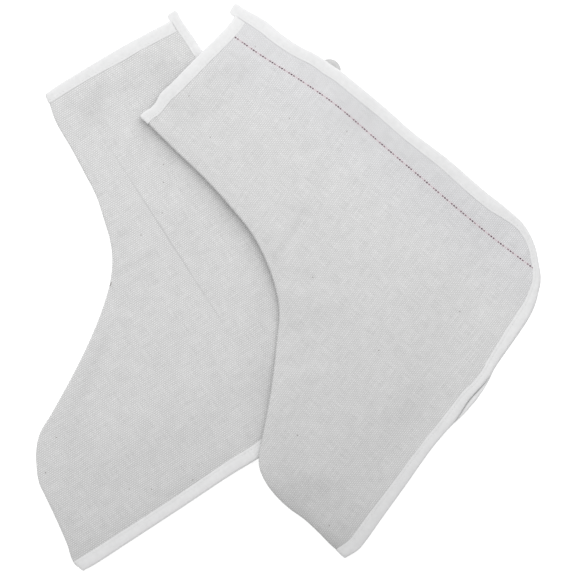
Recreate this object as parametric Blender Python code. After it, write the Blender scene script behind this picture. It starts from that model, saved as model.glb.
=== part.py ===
"""Pair of welding boot covers of heavy cotton canvas, laid flat, one cover over the other.

Each cover is two mirrored canvas panels, sewn together along the front, from the top opening
down the instep and round the toe, with the seam turned inside. Its back and its sole stay open.
White cotton tape is folded over the cut edges: a short length round the top opening, and a long
one down the back, round the heel, along the sole and back along the other panel.

Sizes are in millimetres. X runs to the right of the laid pair, Y to its top, Z up.
"""
import math

import bmesh
import bpy
import numpy as np

MM = 0.001

# Cloth and tape
CLOTH = 1.2                 # wall of the canvas
TAPE = 1.0                  # wall of the folded tape
GAP = 0.3                   # between two pieces that touch
BOUND = TAPE + GAP          # how far the tape stands out from the cut edge
LEG_RISE = CLOTH / 2 + GAP  # from the middle of the canvas to the inside of a tape leg

# How the two panels of a cover lie on each other
LAID = (CLOTH + GAP) / 2    # half the distance between their middles, inside the cover
SPREAD = TAPE + GAP         # how much the bindings and the seam push each panel outwards
STRIP = 12.0                # width that lies flat along a bound edge
BOUND_EASE = 33.0           # from there inwards until the panels touch
SEAM_FLAT = 10.0            # width of the seam allowance
SEAM_EASE = 26.0            # from there inwards until the panels touch

# Front seam
BEND = LAID + SPREAD - GAP / 2                      # radius of the rolled front edge
BEND_ANGLES = [math.radians(a) for a in (90, 45, 0)]
BEND_ROWS = [BEND * (1 - math.sin(a)) for a in BEND_ANGLES]
TUCK = 22.0                 # the front edge draws in under the tape over this length

# Bindings
EDGE_ROUND = 0.6            # chamfer of the tape's folded edge
TOP_LEG = 9.5               # width of each leg of the top binding

# Free end of the long tape past the top edge: rows of mm past the cut edge, mm drawn in at each
# side, mm pressed flatter
FREE_END = [(6.8, 2.2, 0.55), (5.2, 0.6, 0.55), (4.0, 0.0, 0.3)]

# Closing tab on the right cover
TAB_WIDTH = 20.0
TAB_OUT = 6.3               # past the cut edge
TAB_IN = 19.0               # inside the cover
TAB_CLEAR = 0.45            # between the tab and each panel
TAB_FOOT = (38.0, 188.0)    # where its middle crosses the cut edge
TAB_CELLS = 10              # across its round end
TAB_ROWS = 4                # stations along it
TAB_SIDE_ANGLE = 86.0       # its round end stops just short of a half circle
TAB_BULGE = 24.0            # the layers stay spread this far from its foot
TAB_EASE = 42.0             # from there on until they touch

# Right cover's drape over the left one
DRAPE_TOP = 8.9             # height over the left cover's bindings
DRAPE_IN = 3.3              # height over the left cover's plain canvas
DRAPE_OUT_START = 60.0      # the rise begins this far outside the left cover
DRAPE_LEVEL = (-8.0, 20.0)  # the level stretch, measured inwards from its edge
DRAPE_IN_END = 80.0         # from here inwards the cloth lies on plain canvas

# Mesh: stations along a cover's height and across it
HEIGHT_CELLS = 28
ACROSS_CELLS = 12
HEEL_CROWD = 0.3            # stations along the sole crowd together towards the heel
SAMPLE_STEP = 3.0           # between the points of a side
CORNER_STEPS = 3            # of these, that a side's straight run into a corner is taken over
SHARP_EDGE = math.radians(50)

CANVAS_COLOUR = (0.66, 0.66, 0.67)
CANVAS_ROUGHNESS = 0.9
TAPE_COLOUR = (0.84, 0.84, 0.85)
TAPE_ROUGHNESS = 0.85

# Outlines as laid, at the outside of the tape: rows of x, y
RIGHT_TOP = [
    (-126.5, 145.5), (-121.5, 150.5), (-117.5, 152.5), (-113, 157), (-109, 164.5),
    (-100.5, 172.5), (-81, 192.5), (-61, 212.5), (-49.5, 225), (-40, 239),
]
RIGHT_BACK = [
    (-40, 239), (-26, 231.5), (-17, 226), (-8.5, 218.5), (7, 207.5), (27.5, 196.5),
    (35.5, 190.5), (45.5, 184), (61, 171.5), (81.5, 154.5), (104.5, 134), (137, 109),
    (168, 82), (187.5, 66.5), (201, 53.5), (210, 36), (214, 17),
]
RIGHT_SOLE = [
    (214, 17), (214.5, 6), (212.5, -4), (209.5, -14.5), (204.5, -25), (198, -35), (184, -55),
    (177, -65), (170.5, -76), (165, -83), (154.5, -94.5), (144.5, -109.5), (123, -135.5),
    (101, -166.5), (79, -197), (67, -214), (61, -221.5), (48, -230),
]
RIGHT_FRONT = [
    (-126.5, 145.5), (-119, 139), (-94.5, 115.5), (-70.5, 92.5), (-47.5, 67), (-31.5, 47),
    (-16, 16), (-10.5, -1), (-7.5, -22), (-9, -39), (-14.5, -86.5), (-22.5, -130),
    (-24.5, -140), (-24.5, -152), (-20.5, -162.5), (-10.5, -176.5), (1, -187.5),
    (13.5, -196.5), (26, -208), (39.5, -222), (48, -230),
]
LEFT_TOP = [
    (-207, 164.5), (-196.5, 172), (-181, 181.5), (-158, 195.5), (-134.5, 209),
    (-111, 221.5), (-100.5, 227), (-92.5, 231),
]
LEFT_BACK = [
    (-92.5, 231), (-87, 223), (-80, 213), (-72.5, 201.5), (-50, 168.5), (-17, 113),
    (15.5, 58.5), (47.5, 3.5), (58.5, -15.5), (64, -35.5),
]
LEFT_SOLE = [
    (64, -35.5), (62, -54.5), (55, -75.5), (41.5, -93), (10, -118), (-24, -143.5),
    (-46, -157), (-92, -187.5), (-138.5, -218), (-161.5, -233), (-169, -237.5), (-175, -240.5),
]
LEFT_FRONT = [
    (-207, 164.5), (-205, 160), (-196.5, 139.5), (-184.5, 119), (-173.5, 98.5), (-163, 78),
    (-156.5, 58), (-151.5, 41), (-149.5, 24), (-151, 7), (-156.5, -13.5), (-168.5, -44),
    (-184.5, -76.5), (-200.5, -105.5), (-212, -126), (-214, -136), (-214, -150.5),
    (-211.5, -166.5), (-206.5, -177), (-197, -197), (-188, -217.5), (-179.5, -238),
    (-175, -240.5),
]

# How far the lower layer looks out from under the upper one: rows of mm along the sole from the
# heel, mm out
RIGHT_PEEK = [
    (0, 0.5), (60, 0.8), (100, 0.8), (116, 3.0), (128, 4.0), (144, 3.0), (160, 0.4), (290, 0),
]
LEFT_PEEK = [(0, 0), (150, 0.6), (300, 0.4)]

# Width of each leg of the long tape: rows of part of the way from the top of the back (0) over
# the heel (1) to the toe (2), mm
RIGHT_LEG = [
    (0, 9.6), (0.83, 9.2), (0.9, 5.6), (0.95, 4.6), (1.0, 4.8), (1.04, 5.6), (1.1, 7.4),
    (1.18, 9.4), (2, 10.4),
]
LEFT_LEG = [(0, 6.8), (0.3, 8.0), (0.8, 10.0), (1.0, 8.0), (1.2, 10.5), (2, 10.6)]


def smooth(t):
    """Soft step from 0 to 1."""
    t = np.clip(t, 0.0, 1.0)
    return t * t * (3 - 2 * t)


def from_table(rows, at):
    """Read a two-column table between its rows."""
    keys, values = zip(*rows)
    return float(np.interp(at, keys, values))


def lengths(points):
    """Distance along a line of points, from its first one."""
    steps = np.linalg.norm(np.diff(points, axis=0), axis=1)
    return np.concatenate([[0.0], np.cumsum(steps)])


def curve_through(rows):
    """Smooth line through the rows, with points about SAMPLE_STEP apart."""
    knots = np.array(rows, float)
    keys = lengths(knots)
    slopes = np.gradient(knots, keys, axis=0)
    line = []
    for k in range(len(knots) - 1):
        span = keys[k + 1] - keys[k]
        count = max(2, round(span / SAMPLE_STEP * 2))
        for t in np.arange(count) / count:
            line.append(
                (2 * t**3 - 3 * t**2 + 1) * knots[k] + (t**3 - 2 * t**2 + t) * span * slopes[k]
                + (3 * t**2 - 2 * t**3) * knots[k + 1] + (t**3 - t**2) * span * slopes[k + 1])
    line.append(knots[-1])
    line = np.array(line)
    keys = lengths(line)
    even = np.linspace(0, keys[-1], round(keys[-1] / SAMPLE_STEP) + 1)
    return at_lengths(line, even)


def at_lengths(line, where):
    """Points of a line at the given distances along it."""
    keys = lengths(line)
    return np.stack([np.interp(where, keys, line[:, axis]) for axis in (0, 1)], axis=1)


def inward(line):
    """Unit normals of a side, to the right of its direction."""
    tangent = np.gradient(line, axis=0)
    tangent /= np.linalg.norm(tangent, axis=1)[:, None]
    return np.stack([tangent[:, 1], -tangent[:, 0]], axis=1)


def evened(values, reach=2):
    """Running mean over the neighbouring points of a line."""
    padded = np.pad(values, ((reach, reach), (0, 0)), mode="edge")
    return sum(padded[k:k + len(values)] for k in range(2 * reach + 1)) / (2 * reach + 1)


def inset(line, normals, amounts):
    """Move each point of a side inwards by its amount."""
    return line + normals * np.asarray(amounts)[:, None]


def meeting(line_a, line_b):
    """Where the straight runs at the end of one side and the start of the next cross."""
    point_a, point_b = line_a[-1], line_b[0]
    along_a = line_a[-1] - line_a[-1 - CORNER_STEPS]
    along_b = line_b[0] - line_b[CORNER_STEPS]
    matrix = np.stack([along_a, -along_b], axis=1)
    reach = np.linalg.solve(matrix, point_b - point_a)
    return point_a + along_a * reach[0]


def distance_to(points, line):
    """Distance of each point to a line of points."""
    start, step = line[:-1], np.diff(line, axis=0)
    offset = points[..., None, :] - start
    part = np.clip((offset * step).sum(-1) / (step**2).sum(-1), 0, 1)
    return np.linalg.norm(offset - part[..., None] * step, axis=-1).min(-1)


def inside(points, ring):
    """True for points inside a closed ring, by counting crossings."""
    ends = np.roll(ring, -1, axis=0)
    x, y = points[..., None, 0], points[..., None, 1]
    straddle = (ring[:, 1] > y) != (ends[:, 1] > y)
    rise = np.where(ends[:, 1] == ring[:, 1], 1e-9, ends[:, 1] - ring[:, 1])
    cross = ring[:, 0] + (y - ring[:, 1]) / rise * (ends[:, 0] - ring[:, 0])
    return (straddle & (x < cross)).sum(-1) % 2 == 1


class Cover:
    """One laid cover: its four sides, its layers' heights and its grid of stations."""

    def __init__(self, name, top, back, sole, front, peek, leg):
        self.name = name
        self.leg = leg
        self.peek = peek
        self.silhouette = [curve_through(rows) for rows in (top, back, sole, front[::-1])]
        self.ring = np.concatenate([side[:-1] for side in self.silhouette])
        self.below = None
        self.bulge_at = None
        self.sides = self.cut_sides()

    def cut_sides(self, out_rows=((0, 0), (1, 0))):
        """Cut edges and the middle of the rolled front edge, inside the laid outline."""
        top, back, sole, front = self.silhouette
        out = np.array([from_table(out_rows, s) for s in lengths(sole)])
        run = lengths(front)
        near_end = np.minimum(run, run[-1] - run)
        tuck = CLOTH / 2 + BOUND * (1 - smooth(near_end / TUCK))
        lines = [
            inset(top, inward(top), np.full(len(top), BOUND)),
            inset(back, inward(back), np.full(len(back), BOUND)),
            inset(sole, inward(sole), BOUND - out),
            inset(front, inward(front), tuck),
        ]
        heel = (lines[1][-1] + lines[2][0]) / 2
        corners = [meeting(lines[3], lines[0]), meeting(lines[0], lines[1]), heel,
                   meeting(lines[2], lines[3])]
        sides = []
        for k, line in enumerate(lines):
            line = line.copy()
            line[0], line[-1] = corners[k], corners[(k + 1) % 4]
            sides.append(line)
        return sides

    def stations(self, length, rolled):
        """Distances along a side: its flat strip, even cells between, and the far strip."""
        if rolled:
            first, cells, crowd = BEND_ROWS + [SEAM_FLAT], ACROSS_CELLS, HEEL_CROWD
        else:
            first, cells, crowd = [0.0, STRIP], HEIGHT_CELLS, 0.0
        part = np.linspace(0, 1, cells + 1)[1:]
        part = part + crowd * part * (1 - part)
        middle = first[-1] + (length - STRIP - first[-1]) * part
        return np.concatenate([first, middle, [length]])

    def grid(self, sides):
        """Plan of the panel: rows from the top edge to the sole, each from front to back."""
        top, back, sole, front = sides[0], sides[1], sides[2][::-1], sides[3][::-1]
        across_top = self.stations(lengths(top)[-1], True)
        across_sole = self.stations(lengths(sole)[-1], True)
        down_front = self.stations(lengths(front)[-1], False)
        down_back = self.stations(lengths(back)[-1], False)
        rolls = BEND_ROWS + [SEAM_FLAT]
        rows, columns = len(down_front), len(across_top)

        def side_nodes(line, where, flip):
            normals = evened(inward(line) * (-1 if flip else 1))
            keys = lengths(line)
            normal = np.stack([np.interp(where, keys, normals[:, a]) for a in (0, 1)], axis=1)
            return at_lengths(line, where), normal / np.linalg.norm(normal, axis=1)[:, None]

        top_nodes, top_in = side_nodes(top, across_top, False)
        back_nodes, back_in = side_nodes(back, down_back, False)
        sole_nodes, sole_in = side_nodes(sole, across_sole, True)
        front_nodes, front_in = side_nodes(front, down_front, True)
        first, last = len(rolls) - 1, columns - 2

        # Frame: the edges, the rolled front and the flat strips inside the bound edges
        plan = np.zeros((rows, columns, 2))
        plan[0], plan[-1] = top_nodes, sole_nodes
        plan[:, 0], plan[:, -1] = front_nodes, back_nodes
        for j, depth in enumerate(rolls[1:], start=1):
            plan[1:-1, j] = front_nodes[1:-1] + depth * front_in[1:-1]
        plan[1:-1, last] = back_nodes[1:-1] + STRIP * back_in[1:-1]
        head_strip = top_nodes + STRIP * top_in
        foot_strip = sole_nodes + STRIP * sole_in
        for row, strip in ((1, head_strip), (rows - 2, foot_strip)):
            plan[row, last] = (plan[row, last] + strip[last]) / 2
            plan[row, first] = (plan[row, first] + strip[first]) / 2
            plan[row, first + 1:last] = strip[first + 1:last]
        self.front_out = -front_in

        # Field: each point between the four sides of that frame
        across = np.linspace(0, 1, last - first + 1)
        down = np.linspace(0, 1, rows - 2)
        head, foot = plan[1, first:last + 1].copy(), plan[rows - 2, first:last + 1].copy()
        fore, aft = plan[1:rows - 1, first].copy(), plan[1:rows - 1, last].copy()
        for a, u in enumerate(down):
            for b, v in enumerate(across):
                if 0 < a < len(down) - 1 and 0 < b < len(across) - 1:
                    corners = ((1 - u) * (1 - v) * head[0] + (1 - u) * v * head[-1]
                               + u * (1 - v) * foot[0] + u * v * foot[-1])
                    ruled = ((1 - v) * fore[a] + v * aft[a] + (1 - u) * head[b] + u * foot[b])
                    plan[a + 1, first + b] = ruled - corners
        return plan

    def drape(self, plan):
        """Height of the surface that this cover lies on."""
        if self.below is None:
            return np.zeros(plan.shape[:-1])
        depth = distance_to(plan, self.below.ring)
        depth = np.where(inside(plan, self.below.ring), depth, -depth)
        level_from, level_to = DRAPE_LEVEL
        rise = smooth((depth + DRAPE_OUT_START) / (DRAPE_OUT_START + level_from))
        fall = smooth((depth - level_to) / (DRAPE_IN_END - level_to))
        return DRAPE_TOP * rise - (DRAPE_TOP - DRAPE_IN) * fall

    def layers(self, plan):
        """Heights of the lower panel's middle and of the plane between the panels."""
        bound_edges = [distance_to(plan, side) for side in self.sides[:3]]
        bound = 1 - smooth((np.minimum.reduce(bound_edges) - STRIP) / BOUND_EASE)
        seam = 1 - smooth((distance_to(plan, self.sides[3]) - SEAM_FLAT) / SEAM_EASE)
        half = LAID + SPREAD * (1 - (1 - bound) * (1 - seam))
        if self.bulge_at is not None:
            away = np.linalg.norm(plan - np.array(self.bulge_at), axis=-1)
            room = (CLOTH + 2 * TAB_CLEAR - GAP) / 2
            half = half + room * (1 - smooth((away - TAB_BULGE) / TAB_EASE))
        lower = self.drape(plan) + CLOTH / 2 + BOUND * bound
        return lower, lower + half

    def panel(self, side):
        """Middle surface and outward normals of the upper (1) or lower (-1) panel."""
        plan = self.grid(self.sides)
        if side < 0:
            plan[-2:] = self.grid(self.cut_sides(self.peek))[-2:]
        lower, centre = self.layers(plan)
        half = centre - lower
        middle = np.concatenate([plan, (centre + side * half)[..., None]], axis=-1)
        normal = np.zeros_like(middle)
        normal[..., 2] = side
        for j, angle in enumerate(BEND_ANGLES):
            middle[:, j, 2] -= side * (1 - math.cos(angle)) * (half[:, j] - GAP / 2)
            normal[:, j, :2] = self.front_out * math.sin(angle)
            normal[:, j, 2] = side * math.cos(angle)
        return middle, normal


def make_object(name, points, faces, colour, roughness):
    """Add one closed solid with its own material, its points in millimetres."""
    mesh = bpy.data.meshes.new(name)
    mesh.from_pydata([tuple(float(c) * MM for c in p) for p in points], [], faces)
    shape = bmesh.new()
    shape.from_mesh(mesh)
    bmesh.ops.triangulate(shape, faces=shape.faces, quad_method="SHORT_EDGE")
    bmesh.ops.recalc_face_normals(shape, faces=shape.faces)
    shape.to_mesh(mesh)
    shape.free()
    mesh.shade_smooth()
    mesh.set_sharp_from_angle(angle=SHARP_EDGE)
    material = bpy.data.materials.new(name)
    material.use_nodes = True
    shader = material.node_tree.nodes["Principled BSDF"]
    shader.inputs["Base Color"].default_value = (*colour, 1.0)
    shader.inputs["Roughness"].default_value = roughness
    shader.inputs["Metallic"].default_value = 0.0
    mesh.materials.append(material)
    body = bpy.data.objects.new(name, mesh)
    bpy.context.scene.collection.objects.link(body)


def make_canvas(name, points, faces):
    make_object(name, points, faces, CANVAS_COLOUR, CANVAS_ROUGHNESS)


def wall_from_grid(middle, normal, thickness):
    """Points and faces of a sheet with a wall, both faces moved out from its middle.

    Each cell is split along its diagonal that is shorter in plan, so that sheets that lie on
    each other bend alike.
    """
    rows, columns = middle.shape[:2]
    front = (middle + normal * thickness / 2).reshape(-1, 3)
    back = (middle - normal * thickness / 2).reshape(-1, 3)
    points = np.concatenate([front, back])
    under = rows * columns

    def node(i, j):
        return i * columns + j

    faces = []
    for i in range(rows - 1):
        for j in range(columns - 1):
            a, b, c, d = node(i, j), node(i, j + 1), node(i + 1, j + 1), node(i + 1, j)
            first_diagonal = np.linalg.norm(middle[i, j, :2] - middle[i + 1, j + 1, :2])
            second_diagonal = np.linalg.norm(middle[i, j + 1, :2] - middle[i + 1, j, :2])
            if first_diagonal < second_diagonal:
                halves = [[a, b, c], [a, c, d]]
            else:
                halves = [[a, b, d], [b, c, d]]
            for half in halves:
                faces.append(half)
                faces.append([under + n for n in reversed(half)])
    rim = [node(0, j) for j in range(columns)]
    rim += [node(i, columns - 1) for i in range(1, rows)]
    rim += [node(rows - 1, j) for j in range(columns - 2, -1, -1)]
    rim += [node(i, 0) for i in range(rows - 2, 0, -1)]
    for a, b in zip(rim, rim[1:] + rim[:1]):
        faces.append([b, a, under + a, under + b])
    return points, faces


def tube_from_sections(sections):
    """Points and faces of a bar through closed sections, with plain ends."""
    points = np.concatenate(sections)
    count = len(sections[0])
    faces = []
    for s in range(len(sections) - 1):
        for k in range(count):
            after = (k + 1) % count
            start, end = s * count, (s + 1) * count
            faces.append([start + k, start + after, end + after, end + k])
    return points, faces, count


def close_ends(faces, section_faces, last_start):
    """Close a bar with the given faces, at its first and at its last section."""
    for face in section_faces:
        faces.append(list(reversed(face)))
        faces.append([last_start + n for n in face])


def binding_section(edge, partner, edge_normal, partner_normal, leg, press=0.0):
    """Folded tape over one point of a cut edge; its legs lie along the panel's own points."""
    run = partner - edge
    reach = np.linalg.norm(run)
    out = -run / reach
    outer = LEG_RISE + TAPE - press
    inner = LEG_RISE - press

    def on_panel(depth, rise):
        part = depth / reach
        normal = edge_normal + (partner_normal - edge_normal) * part
        return edge + run * part + normal / np.linalg.norm(normal) * rise

    def past_edge(depth, rise):
        return edge + out * depth + edge_normal * rise

    return np.array([
        on_panel(leg, outer),
        past_edge(BOUND - EDGE_ROUND, outer),
        past_edge(BOUND, outer - EDGE_ROUND),
        past_edge(BOUND, EDGE_ROUND - outer),
        past_edge(BOUND - EDGE_ROUND, -outer),
        on_panel(leg, -outer),
        on_panel(leg, -inner),
        past_edge(GAP, -inner),
        past_edge(GAP, inner),
        on_panel(leg, inner),
    ])


# Quads that close one end of a folded tape, by the points of its section
BINDING_END = [[0, 1, 8, 9], [1, 2, 8], [2, 3, 7, 8], [3, 4, 7], [4, 5, 6, 7]]


def make_binding(name, sections):
    points, faces, count = tube_from_sections(sections)
    close_ends(faces, BINDING_END, (len(sections) - 1) * count)
    make_object(name, points, faces, TAPE_COLOUR, TAPE_ROUGHNESS)


def top_sections(middle, normal, leg_at_back):
    """Sections of the top binding on one panel, from the long binding to the front seam."""
    last = middle.shape[1] - 1
    corner, inner = middle[0, last], middle[0, last - 1]

    # The binding ends against the long one's leg, a little past the last but one station
    end = corner + (inner - corner) * (leg_at_back + GAP) / np.linalg.norm(inner - corner)
    sections = [binding_section(
        end, end + middle[1, last - 1] - inner, normal[0, last - 1], normal[1, last - 1], TOP_LEG)]
    for j in range(last - 1, -1, -1):
        sections.append(binding_section(
            middle[0, j], middle[1, j], normal[0, j], normal[1, j], TOP_LEG))
    return sections


def long_sections(middle, normal, leg):
    """Sections of the long binding on one panel, from its free end at the top to the toe."""
    rows, columns = middle.shape[:2]
    last = columns - 1
    sections = []

    # Free end: past the top edge, narrower and flatter towards its rounded tip
    start, partner = middle[0, last], middle[0, last - 1]
    away = (start - middle[1, last]) / np.linalg.norm(start - middle[1, last])
    inwards = (partner - start) / np.linalg.norm(partner - start)
    for reach, trim, press in FREE_END:
        shift = away * reach + inwards * trim
        sections.append(binding_section(
            start + shift, partner + shift, normal[0, last], normal[0, last - 1],
            from_table(leg, 0) - 2 * trim, press))

    # Down the back, each section across the flat strip
    run_back = lengths(middle[:, last, :2])
    for i in range(rows):
        inner = min(i, rows - 2)
        sections.append(binding_section(
            middle[i, last], middle[inner, last - 1], normal[i, last], normal[inner, last - 1],
            from_table(leg, run_back[i] / run_back[-1])))

    # Along the sole from the heel to the rolled front edge
    run_sole = lengths(middle[rows - 1, ::-1, :2])
    for k in range(1, columns):
        j = last - k
        sections.append(binding_section(
            middle[rows - 1, j], middle[rows - 2, j], normal[rows - 1, j], normal[rows - 2, j],
            from_table(leg, 1 + run_sole[k] / run_sole[-1])))
    return sections


def make_cover(cover):
    """Build the pieces of one cover."""
    upper, upper_out = cover.panel(1)
    lower, lower_out = cover.panel(-1)
    make_canvas(f"{cover.name}_upper_panel", *wall_from_grid(upper, upper_out, CLOTH))
    make_canvas(f"{cover.name}_lower_panel", *wall_from_grid(lower, lower_out, CLOTH))

    # Seam allowances: both panels' turned plies as one solid, from the front edge inwards
    rolled = len(BEND_ROWS) - 1
    half_thickness = np.array([0, 0, LAID + SPREAD - CLOTH / 2 - GAP])
    sections = []
    for i in range(1, upper.shape[0] - 1):
        start = (upper[i, rolled] + lower[i, rolled]) / 2
        end = (upper[i, rolled + 1] + lower[i, rolled + 1]) / 2
        sections.append(np.array([start + half_thickness, end + half_thickness,
                                  end - half_thickness, start - half_thickness]))
    points, faces, count = tube_from_sections(sections)
    close_ends(faces, [[0, 1, 2, 3]], (len(sections) - 1) * count)
    make_canvas(f"{cover.name}_seam_allowance", points, faces)

    # Bindings: down one panel, round the rolled front edge, and back along the other panel
    leg = cover.leg
    upper_top = top_sections(upper, upper_out, from_table(leg, 0))
    lower_top = top_sections(lower, lower_out, from_table(leg, 0))
    make_binding(f"{cover.name}_top_binding", upper_top + lower_top[::-1])
    upper_long = long_sections(upper, upper_out, leg)
    lower_long = long_sections(lower, lower_out, leg)
    make_binding(f"{cover.name}_long_binding", upper_long + lower_long[::-1])


def make_tab(cover):
    """Round-ended strip between the layers, at the back opening."""
    back = cover.sides[1]
    nearest = int(np.argmin(np.linalg.norm(back - np.array(TAB_FOOT), axis=1)))
    into = inward(back)[nearest]
    along = np.array([-into[1], into[0]])
    radius = TAB_WIDTH / 2
    rows = []
    for turn in np.linspace(-1, 1, TAB_CELLS + 1):
        angle = turn * math.radians(TAB_SIDE_ANGLE)
        sideways = radius * math.sin(angle) / math.sin(math.radians(TAB_SIDE_ANGLE))
        reach = TAB_OUT - radius + math.sqrt(max(radius**2 - sideways**2, 0))
        depths = np.linspace(-reach, TAB_IN, TAB_ROWS)
        rows.append(back[nearest] + along * sideways + into * depths[:, None])
    plan = np.array(rows)
    height = cover.layers(plan)[1]
    middle = np.concatenate([plan, height[..., None]], axis=-1)
    normal = np.zeros_like(middle)
    normal[..., 2] = 1
    make_canvas(f"{cover.name}_closing_tab", *wall_from_grid(middle, normal, CLOTH))


for leftover in list(bpy.data.objects):
    bpy.data.objects.remove(leftover, do_unlink=True)

left = Cover("left", LEFT_TOP, LEFT_BACK, LEFT_SOLE, LEFT_FRONT, LEFT_PEEK, LEFT_LEG)
right = Cover("right", RIGHT_TOP, RIGHT_BACK, RIGHT_SOLE, RIGHT_FRONT, RIGHT_PEEK, RIGHT_LEG)
right.below = left
right.bulge_at = TAB_FOOT
make_cover(left)
make_cover(right)
make_tab(right)
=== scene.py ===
"""Pair of welding boot covers of heavy cotton canvas, laid flat on a pale floor.

Sizes are in millimetres unless a line says otherwise. X runs to the right of the laid pair, Y to
its top, Z up.
"""
import math

import bmesh
import bpy
import numpy as np
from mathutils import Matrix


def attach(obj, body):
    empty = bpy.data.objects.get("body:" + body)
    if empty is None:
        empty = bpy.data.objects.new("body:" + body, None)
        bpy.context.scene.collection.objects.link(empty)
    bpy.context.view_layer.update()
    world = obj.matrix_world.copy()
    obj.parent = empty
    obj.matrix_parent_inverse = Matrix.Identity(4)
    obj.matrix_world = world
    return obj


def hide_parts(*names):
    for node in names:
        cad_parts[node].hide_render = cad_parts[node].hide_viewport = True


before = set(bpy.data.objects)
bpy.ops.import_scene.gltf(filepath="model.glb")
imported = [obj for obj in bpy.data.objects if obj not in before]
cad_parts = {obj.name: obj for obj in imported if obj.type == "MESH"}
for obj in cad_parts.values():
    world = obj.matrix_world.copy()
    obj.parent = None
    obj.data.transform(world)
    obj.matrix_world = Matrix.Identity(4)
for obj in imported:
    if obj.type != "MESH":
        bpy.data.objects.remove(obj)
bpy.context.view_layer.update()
MM = 0.001


# Canvas panels
# Each cover is cut from heavy plain-weave cotton duck as two mirrored panels, with the warp along
# the back edge. They are sewn together along instep and toe and lie face to face. The right cover
# was laid last, across the back edge of the left one.
CLOTH = 1.2                 # wall of the canvas
BOUND = 1.3                 # how far the tape stands out from the cut edge
LAID = 0.75                 # half the distance between the panels' middles
SPREAD = 1.3                # how much bindings and seam push each panel outwards
STRIP = 12.0                # width that lies flat along a bound edge
BOUND_EASE = 33.0           # from there inwards until the panels touch
SEAM_FLAT = 10.0            # width of the seam allowance
SEAM_EASE = 26.0            # from there inwards until the panels touch
SEAM_RIDGE = 0.3            # how far the allowance's own edge prints through the upper panel
SEAM_RIDGE_FROM = 9.0       # from the front edge inwards
SEAM_RIDGE_EASE = 5.0
TUCK = 22.0                 # the front edge draws in under the tape over this length
BEND = 1.1                  # radius of the rolled front edge
BEND_SQUARE = 0.75          # less than 1 makes the roll squarer
BEND_HALF_GAP = 0.06        # the two panels all but meet in the seam line
BEND_ANGLES = [math.radians(a) for a in (90, 75, 60, 45, 30, 15, 0)]
DRAPE_TOP = 8.9             # height of the right cover over the left one's bindings
DRAPE_IN = 3.3              # and over its plain canvas
DRAPE_OUT_START = 60.0      # it starts to rise this far outside the left cover
DRAPE_BRIDGE_START = 120.0  # the upper panel bridges further, away from its edges
DRAPE_BRIDGE_EDGE = (12.0, 45.0)    # no bridge this near an edge, and where it is full
DRAPE_LEVEL = (-8.0, 20.0)  # at its height between these places inside the left cover's edge
DRAPE_IN_END = 80.0         # and down on the plain canvas here
TAB_FOOT = (38.0, 188.0)    # where the closing tab crosses the right cover's cut edge
TAB_ROOM = 0.9              # how far the tab spreads the panels there
TAB_BULGE = 24.0            # radius of the full spread
TAB_EASE = 42.0             # and how soon it has gone outside it
CURL = 3.0                  # the right lower panel's edge turns up where it looks out at the sole
CURL_AT = 130.0             # along the sole from the heel
CURL_REACH = (14.0, 14.0)   # at its full height this far to both sides, then easing
CURL_START = -0.6           # past the upper panel's cut edge
CURL_EASE = 4.4             # the turn is full after this many mm more
ROWS = 176                  # cells from the top opening to the sole
COLUMNS = 112               # cells from the front seam to the back edge
HEEL_CROWD = 0.3            # cells along the sole crowd together towards the heel
CURVE_STEPS = 12            # pieces of an outline from one row of its table to the next
LINE_STEP = 1.5             # between the points of the finished outline
CORNER_STEPS = 6            # a side's straight run into a corner is taken over this many points
RASTER = 2.0                # between the points of the map of heights
RASTER_MARGIN = 16.0
SOFTEN_ROUNDS = 9
CALM = (10.0, 22.0)         # no waves this near an edge, and how soon they are full
WAVES = (95, 70, 52, 40, 33, 27)    # lengths of the slow waves in the cloth
WAVE_FLATNESS = 2600.0      # a wave is this many times as long as it is high
WAVE_BOW = (0.6, 46.0)      # radians that its crest wanders, over this many mm
CHUNK = 2000                # points handled at once
SHINE = 0.2                 # specular level of every cloth
SHARP_EDGE = math.radians(50)

# Outlines as laid, at the outside of the tape: rows of x, y
RIGHT_TOP = [
    (-126.5, 145.5), (-121.5, 150.5), (-117.5, 152.5), (-113, 157), (-109, 164.5),
    (-100.5, 172.5), (-81, 192.5), (-61, 212.5), (-49.5, 225), (-40, 239),
]
RIGHT_BACK = [
    (-40, 239), (-26, 231.5), (-17, 226), (-8.5, 218.5), (7, 207.5), (27.5, 196.5),
    (35.5, 190.5), (45.5, 184), (61, 171.5), (81.5, 154.5), (104.5, 134), (137, 109),
    (168, 82), (187.5, 66.5), (201, 53.5), (210, 36), (214, 17),
]
RIGHT_SOLE = [
    (214, 17), (214.5, 6), (212.5, -4), (209.5, -14.5), (204.5, -25), (198, -35), (184, -55),
    (177, -65), (170.5, -76), (165, -83), (154.5, -94.5), (144.5, -109.5), (123, -135.5),
    (101, -166.5), (79, -197), (67, -214), (61, -221.5), (48, -230),
]
RIGHT_FRONT = [
    (-126.5, 145.5), (-119, 139), (-94.5, 115.5), (-70.5, 92.5), (-47.5, 67), (-31.5, 47),
    (-16, 16), (-10.5, -1), (-7.5, -22), (-9, -39), (-14.5, -86.5), (-22.5, -130),
    (-24.5, -140), (-24.5, -152), (-20.5, -162.5), (-10.5, -176.5), (1, -187.5),
    (13.5, -196.5), (26, -208), (39.5, -222), (48, -230),
]
LEFT_TOP = [
    (-207, 164.5), (-196.5, 172), (-181, 181.5), (-158, 195.5), (-134.5, 209),
    (-111, 221.5), (-100.5, 227), (-92.5, 231),
]
LEFT_BACK = [
    (-92.5, 231), (-87, 223), (-80, 213), (-72.5, 201.5), (-50, 168.5), (-17, 113),
    (15.5, 58.5), (47.5, 3.5), (58.5, -15.5), (64, -35.5),
]
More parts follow.
